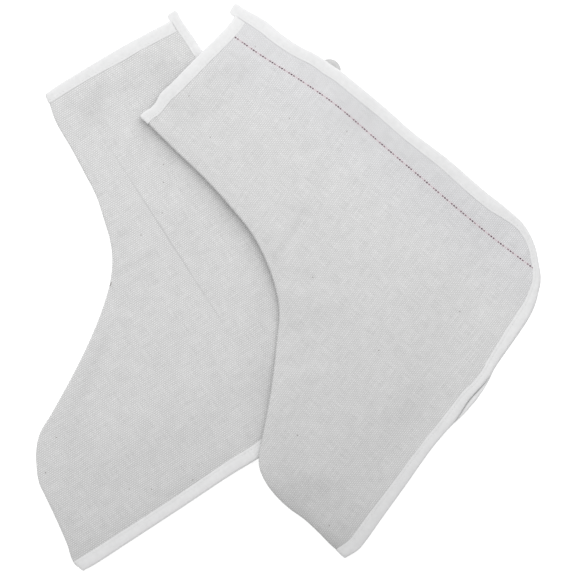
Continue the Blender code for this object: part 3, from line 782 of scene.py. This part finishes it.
def thread_tree(name):
    """Geometry Nodes tree that lays one short bent thread on every point, along its way."""
    tree = bpy.data.node_groups.new(name, "GeometryNodeTree")
    face = tree.interface
    face.new_socket("Geometry", in_out="INPUT", socket_type="NodeSocketGeometry")
    for label in ("Length", "Width", "Sink"):
        face.new_socket(label, in_out="INPUT", socket_type="NodeSocketFloat")
    face.new_socket("Thread", in_out="INPUT", socket_type="NodeSocketMaterial")
    face.new_socket("Geometry", in_out="OUTPUT", socket_type="NodeSocketGeometry")
    nodes = Nodes(tree)
    node, times = nodes.node, nodes.times

    given = node("NodeGroupInput").outputs
    half = times(given["Length"], 0.5)
    start = node("ShaderNodeCombineXYZ", X=times(half, -1.0)).outputs[0]
    end = node("ShaderNodeCombineXYZ", X=half).outputs[0]
    line = node("GeometryNodeCurvePrimitiveLine", Start=start, End=end).outputs[0]
    line = node("GeometryNodeResampleCurve", Curve=line, Count=THREAD_POINTS).outputs[0]
    part = node("GeometryNodeSplineParameter").outputs["Factor"]
    from_middle = nodes.math("SUBTRACT", times(part, 2.0), 1.0)
    square = times(from_middle, from_middle)
    drop = node("ShaderNodeCombineXYZ", Z=times(square, given["Sink"], -1.0)).outputs[0]
    line = node("GeometryNodeSetPosition", Geometry=line, Offset=drop).outputs[0]
    thick = nodes.math("SUBTRACT", 1.0, times(square, square, THREAD_TAPER))
    radius = times(given["Width"], 0.5, thick)
    line = node("GeometryNodeSetCurveRadius", Curve=line, Radius=radius).outputs[0]
    section = node("GeometryNodeCurvePrimitiveCircle", Resolution=THREAD_SIDES, Radius=1.0)
    sweep = node("GeometryNodeCurveToMesh", Curve=line, Profile_Curve=section.outputs[0],
                 Fill_Caps=True)
    if "Scale" in sweep.inputs:  # some versions don't take the radius by themselves
        tree.links.new(node("GeometryNodeInputRadius").outputs[0], sweep.inputs["Scale"])

    def attribute(label):
        made = node("GeometryNodeInputNamedAttribute", {"data_type": "FLOAT_VECTOR"}, Name=label)
        return made.outputs["Attribute"]

    upright = node("FunctionNodeAlignRotationToVector", {"axis": "Z"}, Vector=attribute("outwards"))
    turned = node("FunctionNodeAlignRotationToVector", {"axis": "X", "pivot_axis": "Z"},
                  Rotation=upright.outputs[0], Vector=attribute("way"))
    laid = node("GeometryNodeInstanceOnPoints", Points=given["Geometry"], Instance=sweep.outputs[0],
                Rotation=turned.outputs[0]).outputs[0]
    real = node("GeometryNodeRealizeInstances", Geometry=laid).outputs[0]
    smoothed = node("GeometryNodeSetShadeSmooth", Geometry=real).outputs[0]
    dyed = node("GeometryNodeSetMaterial", Geometry=smoothed, Material=given["Thread"]).outputs[0]
    tree.links.new(dyed, node("NodeGroupOutput").inputs[0])
    return tree


def lay_threads(name, points, ways, outwards, sizes, material, shades=None):
    """Add short threads at the points, made by the tree and turned into one plain mesh."""
    base = bpy.data.meshes.new(name + "_points")
    base.from_pydata((np.array(points) * MM).tolist(), [], [])
    set_attribute(base, "way", "FLOAT_VECTOR", ways)
    set_attribute(base, "outwards", "FLOAT_VECTOR", outwards)
    if shades is not None:
        set_attribute(base, "shade", "FLOAT", shades)
    piece = bpy.data.objects.new(name, base)
    bpy.context.scene.collection.objects.link(piece)
    layer = piece.modifiers.new("threads", "NODES")
    layer.node_group = threads
    sockets = {item.name: item.identifier for item in threads.interface.items_tree
               if item.in_out == "INPUT"}
    for label, value in zip(("Length", "Width", "Sink"), sizes):
        layer[sockets[label]] = value * MM
    layer[sockets["Thread"]] = material
    evaluated = piece.evaluated_get(bpy.context.evaluated_depsgraph_get())
    mesh = bpy.data.meshes.new_from_object(evaluated)
    piece.modifiers.remove(layer)
    piece.data = mesh
    bpy.data.meshes.remove(base)
    mesh.name = name
    for label in ("way", "outwards"):
        if label in mesh.attributes:
            mesh.attributes.remove(mesh.attributes[label])
    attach(piece, "root")


threads = thread_tree("short_threads")
yarn = Finish("selvage_yarn", roughness=0.85, sheen=0.1)
shade = yarn.node("ShaderNodeAttribute", {"attribute_name": "shade"}).outputs["Fac"]
grains, change = YARN_FUZZ
fuzz = yarn.grain(grains)
yarn.coloured(yarn.mix(yarn.add(shade, yarn.spread(fuzz, change)), YARN_PALE, YARN_DARK))
yarn.bump(fuzz, *YARN_BUMP)
runs, shades = [], []
spin = np.random.default_rng(SPIN_SEED)
first, growth = DASH_PITCH
for dash in range(DASHES):
    start = DASH_START + first * dash + growth * dash**2 / 2
    pitch = first + growth * dash
    for k, dark in enumerate(DASH_SHADES):
        runs.append(start + pitch * k / len(DASH_SHADES))
        shades.append(float(np.clip(dark + spin.uniform(-UNEVEN, UNEVEN), 0, 1)))
shades = np.array(shades)
tops = right.on_ply(1, right.on_grain(np.array(runs)))
tops[:, 2] += CLOTH / 2 + YARN_LIFT
ways = unit(np.gradient(tops, axis=0))
for name, chosen, size in (("dark", shades > DARK_OVER, DARK_FLOAT),
                           ("pale", shades <= DARK_OVER, PALE_FLOAT)):
    lay_threads(f"right_selvage_yarn_{name}", tops[chosen], ways[chosen], facing(tops[chosen]),
                size, yarn.material, shades[chosen])


# Seed specks
# Bits of cotton seed and dark lint are caught in the yarns here and there: rows of x, y and
# degrees that the fibre is turned.
LEFT_SPECKS = [
    (-106, 105, 70), (-106, 90, 20), (-107, 64, 100), (-125, 45, 40), (-197, -127, 10),
    (-116, -171, 60), (-135, -171, 130), (-81, -163, 30), (-206, -157, 80),
    (-150.3, 4.4, 75), (-150.7, 3.3, 75), (-151, 2.2, 75),
]
RIGHT_SPECKS = [
    (1, 144, 80), (50, 133, 15), (21, 9, 120), (146, -20, 40), (77, -53, 5), (8, -125, 60),
    (35, -202, 25), (-28, 205, 50), (-84, 163, 0), (-66, 128, 100),
]
SPECK_SIZE = (1.3, 0.55, 0.25)      # length, width, dip of the ends
SPECK_LIFT = 0.03
SPECK_DARK = (0.16, 0.14, 0.13, 1)
SPECK_PALE = (0.38, 0.36, 0.34, 1)
SPECK_GRAINS = 2500.0       # in a metre
lint = Finish("dark_lint", roughness=0.9)
lint.coloured(lint.mix(lint.grain(SPECK_GRAINS), SPECK_DARK, SPECK_PALE))
for cover, specks in ((left, LEFT_SPECKS), (right, RIGHT_SPECKS)):
    places = np.array(specks, float)
    turns = np.radians(places[:, 2])
    tops = cover.on_ply(1, places[:, :2])
    tops[:, 2] += CLOTH / 2 + SPECK_LIFT
    ways = np.stack([np.cos(turns), np.sin(turns), np.zeros(len(turns))], axis=1)
    lay_threads(f"{cover.name}_seed_specks", tops, ways, facing(tops), SPECK_SIZE, lint.material)


# Front seam allowances
# The panels are sewn together 10 mm from their front edges and turned. The two raw plies lie
# inside, along instep and toe, and keep the front edge round.
PLY = 1.05                  # wall of each pressed ply
PLY_APART = 0.62            # from the middle between the panels to the middle of a ply
PLY_START = 1.0             # behind the middle of the rolled edge
PLY_CELLS = 5               # across the allowance
PLY_STEP = 3.0              # between its rows
SEAM_END = 13.0             # the bindings cover the seam's ends
for cover in (left, right):
    front = cover.sides[1][3]
    run = lengths(front)
    where = np.linspace(SEAM_END, run[-1] - SEAM_END, round(run[-1] / PLY_STEP))
    into = unit(columns_at(where, run, inward(front)))
    depths = np.linspace(PLY_START, SEAM_FLAT, PLY_CELLS + 1)
    plan = at_lengths(front, where)[:, None] + into[:, None] * depths[None, :, None]
    centre = cover.between(plan)
    points, faces = np.zeros((0, 3)), []
    for side in (1, -1):
        ply = raised(plan, centre + side * PLY_APART)
        more, cells = wall_from_grid(ply, facing(ply), PLY)
        faces += [[len(points) + n for n in cell] for cell in cells]
        points = np.concatenate([points, more])
    seam = make_piece(f"{cover.name}_seam_plies", points, faces, canvas[cover.name],
                      [f"{cover.name}_seam_allowance"], cover.cut_place(points))


# Closing tab
# A canvas strip for closing the right cover lies between its panels. Only its round, stitched-down
# end looks out of the back opening.
TAB_WIDTH = 20.0
TAB_OUT = 6.3               # past the cut edge
TAB_IN = 19.0               # inside the cover
TAB_WALL = 1.2
TAB_SIDE_ANGLE = 86.0       # the round end stops just short of a half circle
TAB_CELLS = 40
TAB_ROWS = 14
RIM_EASE = 1.6              # the pressed rim thins over this length
RIM_WALL = 0.55             # to this part of the wall
RIM_CROWD = 1.6             # rows crowd together towards the round end
TAB_SHADE_SHIFT = (0.0, 0.30)       # shift of the tab's place on the cloth in metres, which greys it with the painted shade away from the selvage
back = right.sides[1][1]
foot = int(np.argmin(np.linalg.norm(back - np.array(TAB_FOOT), axis=1)))
into = inward(back)[foot]
beside = np.array([-into[1], into[0]])
radius = TAB_WIDTH / 2
plan, rim = [], []
for turn in np.linspace(-1, 1, TAB_CELLS + 1):
    angle = turn * math.radians(TAB_SIDE_ANGLE)
    sideways = radius * math.sin(angle) / math.sin(math.radians(TAB_SIDE_ANGLE))
    reach = TAB_OUT - radius + math.sqrt(max(radius**2 - sideways**2, 0))
    part = np.linspace(0, 1, TAB_ROWS)[:, None] ** RIM_CROWD
    depths = -reach + part * (TAB_IN + reach)
    plan.append(back[foot] + beside * sideways + into * depths)
    rim.append(np.minimum((depths + reach)[:, 0], radius - abs(sideways)))
plan = np.array(plan)
middle = raised(plan, right.between(plan))
wall = TAB_WALL * (RIM_WALL + (1 - RIM_WALL) * smooth(np.array(rim) / RIM_EASE))
points, faces = wall_from_grid(middle, facing(middle), wall)
tab = make_piece("right_tab_cloth", points, faces, canvas["right"],
                 ["right_closing_tab"], right.cut_place(points) + np.array(TAB_SHADE_SHIFT))


# Top and long bindings
# White cotton tape is folded in half over each cut edge and sewn through. A short length goes
# round the top opening. A long one goes down the back, round the heel and along the sole, round
# the toe end of the seam and back along the other panel, and both its ends stand past the top.
TAPE_STEP = 2.5             # between the sections of a tape
TAPE_STOP = 0.5             # no section this near the rolled front edge's own ones
TAPE_EVENED = 9             # points that the tape's direction is evened over, to both sides
TAPE_LEAD = 3               # points that give the direction of its free end
CORNER_TURN = 15.0          # the tape turns to follow the front seam over this length
BUTT_GAP = 0.15             # between the top tape's end and the long tape's leg
STITCH_IN = 2.1             # stitch line, from the leg's edge
TAPE_WALL = 0.85
FOLD_DEPTH = 0.86           # from the cut edge to the middle of the folded tape's wall
FOLD_RISE = 1.24            # from the cloth's middle to the middle of the tape's wall
FOLD_ANGLES = (60, 30, 0, -30, -60)
FOLD_POINT = 8              # the profile's first point in the fold
STITCH_POINT = 3            # and its point on the stitch line
SEWN_EDGE = 3.1             # width of the leg's edge that the stitches press down
FREE_WALL = 0.6             # part of the wall that is left where the free end is flat
FRONT_RUN, FRONT_POINT = 8, 2       # points of the front edge that give its ends' direction
TAPE_LIGHT = (0.760, 0.761, 0.764, 1)
TAPE_DARK = (0.680, 0.681, 0.684, 1)
TAPE_TWILL = (0.7 * MM, 0.55 * MM)  # between ribs, along and across
TAPE_THREADS = (90.0, 420.0)        # thick places of a thread and threads in a metre
TAPE_CLOUDS = (45.0, 0.5)   # patches in a metre, change of light
TAPE_MOTTLE = (230.0, 1.3)
RIB_LIGHT, THREAD_LIGHT = 0.06, 0.34
MOTTLE_HEIGHT = 7.0
TAPE_BUMP = (0.25, 0.07 * MM)
# Painted shade: the tape greys towards the toes, where the light falls off: metres along Y, change
# for each metre past
PAINTED_TAPE_SHADE = {"left": (-0.10, -0.2), "right": (-0.07, -0.7)}

# Width of each leg: rows of part of the way, mm. The top tapes run from the back (0) to the front
# seam (1), the long ones from the top of the back (0) over the heel (1) to the toe (2).
TOP_LEGS = {
    "left": [
        (0, 9.5), (0.32, 9.2), (0.44, 9.7), (0.56, 9.2), (0.62, 8.7), (0.7, 8.2), (0.92, 8.0),
        (1, 7.6),
    ],
    "right": [
        (0, 9.2), (0.2, 9.4), (0.38, 9.2), (0.5, 9.5), (0.7, 9.1), (0.8, 9.2), (0.86, 7.6),
        (0.92, 7.8), (1, 8.4),
    ],
}
LONG_LEGS = {
    "left": [
        (0, 6.6), (0.3, 7.8), (0.8, 10.0), (1.0, 8.0), (1.2, 10.5), (1.5, 10.0), (1.6, 9.4),
        (1.7, 9.1), (1.8, 9.3), (1.9, 9.6), (2, 9.8),
    ],
    "right": [
        (0, 7.8), (0.06, 9.4), (0.14, 8.7), (0.4, 8.6), (0.55, 7.9), (0.66, 9.0), (0.8, 9.2),
        (0.86, 6.2), (0.92, 4.7), (1.0, 4.8), (1.04, 5.5), (1.08, 6.9), (1.14, 9.1), (1.2, 9.1),
        (1.26, 7.8), (1.32, 6.7), (1.38, 6.3), (1.44, 7.6), (1.5, 8.5), (1.56, 8.2), (1.62, 7.9),
        (1.68, 8.7), (1.8, 9.2), (1.86, 10.0), (1.92, 10.3), (2, 9.6),
    ],
}

# Free end of the long tape: rows of mm past the cut edge, mm drawn in at each side, part of its
# height that is left
FREE_END = [(7.6, 1.5, 0.45), (7.4, 0.7, 0.52), (7.0, 0.0, 0.58), (6.2, -0.6, 0.64),
            (4.8, -1.0, 0.72), (3.0, -0.8, 0.84), (1.4, -0.3, 1.0)]


def tape_profile(leg):
    """The folded tape's wall, from the edge of its outer leg over the fold to its inner leg: depth
    inside the cut edge, height over the cloth's middle, wall."""
    body = leg - SEWN_EDGE
    outer = [
        (leg, 0.80, 0.34), (leg - 0.5, 0.86, 0.50), (leg - 1.3, 0.91, 0.58),
        (leg - STITCH_IN, 0.88, 0.56), (body, 1.02, 0.66), (0.7 * body + 0.09, 1.16, 0.76),
        (0.35 * body + 0.2, FOLD_RISE, TAPE_WALL), (0.3, 1.22, TAPE_WALL),
    ]
    fold = [(-FOLD_DEPTH * math.cos(a), FOLD_RISE * math.sin(a), TAPE_WALL)
            for a in np.radians(FOLD_ANGLES)]
    inner = [(depth, -height, wall) for depth, height, wall in reversed(outer)]
    return np.array(outer + fold + inner)


def tape_normals(profile):
    """Unit normals of the profile, away from the cloth."""
    step = np.gradient(profile[:, :2], axis=0)
    return unit(np.stack([-step[:, 1], step[:, 0]], axis=1)) * -1


def tape_grid(cover, side, line, into, front_along, front_out, leg_rows, splits, start, free):
    """Middle, normals and wall of a tape on one panel, from its back end to the front seam, and
    its stitch line."""
    run = lengths(line)
    into = unit(evened(into, TAPE_EVENED))
    stations = [(0.0, -past, trim, left_over) for past, trim, left_over in free]
    stations += [(0.0, stop, 0.0, 1.0)
                 for stop in np.arange(start, run[-1] - BEND - TAPE_STOP, TAPE_STEP)]
    stations += [(angle, run[-1] - BEND * (1 - math.sin(angle)), 0.0, 1.0)
                 for angle in BEND_ANGLES[::-1]]
    middle, normal, wall, stitches = [], [], [], []
    lead = unit(line[0] - line[TAPE_LEAD])
    for angle, stop, trim, flatness in stations:
        at = max(stop, 0.0)
        edge = at_lengths(line, at) + lead * max(-stop, 0.0)
        turn = float(smooth(1 - (run[-1] - stop) / CORNER_TURN))
        direction = unit(columns_at(at, run, into)) * (1 - turn) + front_along * turn
        direction = unit(direction)
        leg = float(from_table(leg_rows, splits(at / run[-1]))) - 2 * trim
        profile = tape_profile(leg)
        across = tape_normals(profile)
        plan = edge + direction * (profile[:, :1] + trim)
        outward = np.array([*(front_out * math.sin(angle)), side * math.cos(angle)])
        inwards = np.array([*direction, 0.0])
        points = cover.on_ply(side, plan, angle) + outward * (profile[:, 1:2] * flatness)
        middle.append(points)
        normal.append(across[:, :1] * inwards + across[:, 1:] * outward)
        wall.append(profile[:, 2] * (FREE_WALL + (1 - FREE_WALL) * flatness))
        if stop >= 0:
            surface = points[STITCH_POINT] + outward * profile[STITCH_POINT, 2] / 2
            stitches.append(np.concatenate([surface, outward]))
    return np.array(middle), np.array(normal), np.array(wall), np.array(stitches)


def make_binding(cover, kind, lines, leg_rows, splits, start, free):
    """One length of tape over both panels' edges, and the two stitch lines on its outer legs."""
    halves = []
    for side in (1, -1):
        front = cover.sides[side][3]
        out = -inward(front)
        if kind == "top":
            front, out = front[::-1], out[::-1]
        along = unit(front[FRONT_RUN] - front[0])
        line, into = lines(cover.sides[side])
        halves.append(tape_grid(cover, side, line, into, along, out[FRONT_POINT], leg_rows, splits,
                                start, free))
    upper, lower = halves
    joined = [np.concatenate([a, b[::-1]]) for a, b in zip(upper[:3], lower[:3])]
    middle = joined[0]
    points, faces = wall_from_grid(*joined)
    run = lengths(middle[:, FOLD_POINT])
    along = np.repeat(run[:, None], middle.shape[1], axis=1)
    steps = np.linalg.norm(np.diff(middle, axis=1, prepend=middle[:, :1]), axis=-1)
    place = np.stack([along, np.cumsum(steps, axis=1)], axis=-1).reshape(-1, 2) * MM
    binding = make_piece(f"{cover.name}_{kind}_tape", points, faces, tape_cotton[cover.name],
                         [f"{cover.name}_{kind}_binding"], np.concatenate([place, place]))
    return upper[3], lower[3]


def tape_finish(cover):
    """Fine twill of bleached cotton, with painted shade towards the toes."""
    tape = Finish(f"tape_{cover.name}", roughness=0.88, sheen=0.1)
    place, along, across = tape.cut_axes()
    pitch_along, pitch_across = TAPE_TWILL
    twill = tape.add(tape.math("DIVIDE", along, pitch_along),
                     tape.math("DIVIDE", across, pitch_across))
    ribs = tape.math("SINE", tape.times(twill, 2 * math.pi))
    thick_places, across_metre = TAPE_THREADS
    stretched = tape.node("ShaderNodeCombineXYZ", X=tape.times(along, thick_places),
                          Y=tape.times(across, across_metre)).outputs[0]
    threads = tape.noise(stretched, 1.0)
    patches, change = TAPE_CLOUDS
    clouds = tape.spread(tape.noise(place, patches), change)
    patches, change = TAPE_MOTTLE
    mottle = tape.noise(place, patches)
    light = tape.add(tape.scaled(ribs, RIB_LIGHT, 0.5), tape.spread(threads, THREAD_LIGHT), clouds,
                     tape.spread(mottle, change))
    # Painted shade towards the toes
    level, change = PAINTED_TAPE_SHADE[cover.name]
    spot = tape.node("ShaderNodeTexCoord").outputs["Object"]
    down = tape.times(tape.node("ShaderNodeSeparateXYZ", Vector=spot).outputs[1], -1.0)
    painted_shade = tape.beyond(down, -level, change)
    tape.coloured(tape.greyed(tape.mix(light, TAPE_DARK, TAPE_LIGHT), painted_shade))
    tape.bump(tape.add(ribs, threads, tape.times(mottle, MOTTLE_HEIGHT)), *TAPE_BUMP)
    return tape.material


def top_line(sides):
    return sides[0][::-1], inward(sides[0])[::-1]


def long_line(sides):
    line = np.concatenate([sides[1], sides[2][1:]])
    return line, inward(line)


tape_cotton = {cover.name: tape_finish(cover) for cover in (left, right)}
stitch_lines = {}
for cover in (left, right):
    long_leg = LONG_LEGS[cover.name]
    back_run = lengths(cover.sides[1][1])[-1]
    heel_part = back_run / (back_run + lengths(cover.sides[1][2])[-1])

    def long_splits(part, heel_part=heel_part):
        return np.interp(part, (0, heel_part, 1), (0, 1, 2))

    stitch_lines[f"{cover.name}_top"] = make_binding(
        cover, "top", top_line, TOP_LEGS[cover.name], lambda part: part,
        long_leg[0][1] + BUTT_GAP, [])
    stitch_lines[f"{cover.name}_long"] = make_binding(
        cover, "long", long_line, long_leg, long_splits, 0.0, FREE_END)


# Binding stitches
# White cotton lockstitch runs along each leg of the tape, a little in from its edge, and is drawn
# down into it.
STITCH_PITCH = 3.2
STITCH_SIZE = (2.7, 0.36, 0.16)     # length, width, dip of the ends
STITCH_LIFT = 0.06
STITCH_DARK = (0.66, 0.66, 0.66, 1)
STITCH_LIGHT = (0.75, 0.75, 0.75, 1)
STRANDS = 2200.0            # in a metre
STITCH_BUMP = (0.4, 0.06 * MM)
thread = Finish("white_thread", roughness=0.7, sheen=0.1)
strands = thread.grain(STRANDS)
thread.coloured(thread.mix(strands, STITCH_DARK, STITCH_LIGHT))
thread.bump(strands, *STITCH_BUMP)
for name, lines in stitch_lines.items():
    points, ways, outwards = [], [], []
    for line in lines:
        run = lengths(line[:, :3])
        where = np.arange(STITCH_PITCH, run[-1] - STITCH_PITCH / 2, STITCH_PITCH)
        at = columns_at(where, run, line)
        up = unit(at[:, 3:])
        points.append(at[:, :3] + STITCH_LIFT * up)
        ways.append(unit(np.gradient(at[:, :3], axis=0)))
        outwards.append(up)
    lay_threads(f"{name}_stitches", np.concatenate(points), np.concatenate(ways),
                np.concatenate(outwards), STITCH_SIZE, thread.material)


# Floor, light and camera
# A plain white table, one large soft light from beyond the tops with a weak fill from the left,
# and a camera straight above the pair.
FRAME_WIDTH = 489.6 * MM    # what the picture is wide at the height of the cloth
CLOTH_LEVEL = 6.0 * MM
CAMERA_HEIGHT = 6.0         # metres
SENSOR = 36.0
FLOOR_SIZE = 8.0            # metres
FLOOR_LEVEL = -0.2 * MM
FLOOR_GREY = (0.80, 0.80, 0.80, 1)
FLOOR_GLOW = 0.50
WHITE = (1, 1, 1, 1)
WORLD_LIGHT = 0.635
KEY_LIGHT = ((0.05, 0.77, 0.95), 1.3, 10.75)    # place and side in metres, watts
FILL_LIGHT = ((-0.9, -0.25, 0.8), 1.0, 1.6)

floor_mesh = bpy.data.meshes.new("floor")
reach = FLOOR_SIZE / 2
floor_mesh.from_pydata([(x * reach, y * reach, FLOOR_LEVEL)
                        for x, y in ((-1, -1), (1, -1), (1, 1), (-1, 1))], [], [[0, 1, 2, 3]])
floor = bpy.data.objects.new("floor", floor_mesh)
bpy.context.scene.collection.objects.link(floor)
table = Finish("floor_white", roughness=0.9)
table.shader.inputs["Base Color"].default_value = FLOOR_GREY
table.shader.inputs["Emission Color"].default_value = WHITE
table.shader.inputs["Emission Strength"].default_value = FLOOR_GLOW
floor_mesh.materials.append(table.material)

world = bpy.context.scene.world or bpy.data.worlds.new("studio")
bpy.context.scene.world = world
world.use_nodes = True
sky = world.node_tree.nodes["Background"]
sky.inputs["Color"].default_value = WHITE
sky.inputs["Strength"].default_value = WORLD_LIGHT


def area_light(name, place, size, power):
    """Square light of the given size in metres that looks at the pair."""
    lamp = bpy.data.lights.new(name, "AREA")
    lamp.shape = "SQUARE"
    lamp.size = size
    lamp.energy = power
    light = bpy.data.objects.new(name, lamp)
    light.location = place
    x, y, z = unit(np.array(place))
    light.rotation_euler = (0, math.acos(z), math.atan2(y, x))
    bpy.context.scene.collection.objects.link(light)


area_light("key_light", *KEY_LIGHT)
area_light("fill_light", *FILL_LIGHT)

camera = bpy.data.cameras.new("camera")
camera.sensor_width = SENSOR
camera.lens = SENSOR * (CAMERA_HEIGHT - CLOTH_LEVEL) / FRAME_WIDTH
camera.clip_end = 50.0
viewer = bpy.data.objects.new("camera", camera)
viewer.location = (0, 0, CAMERA_HEIGHT)
bpy.context.scene.collection.objects.link(viewer)
bpy.context.scene.camera = viewer
bpy.context.scene.view_settings.view_transform = "Standard"
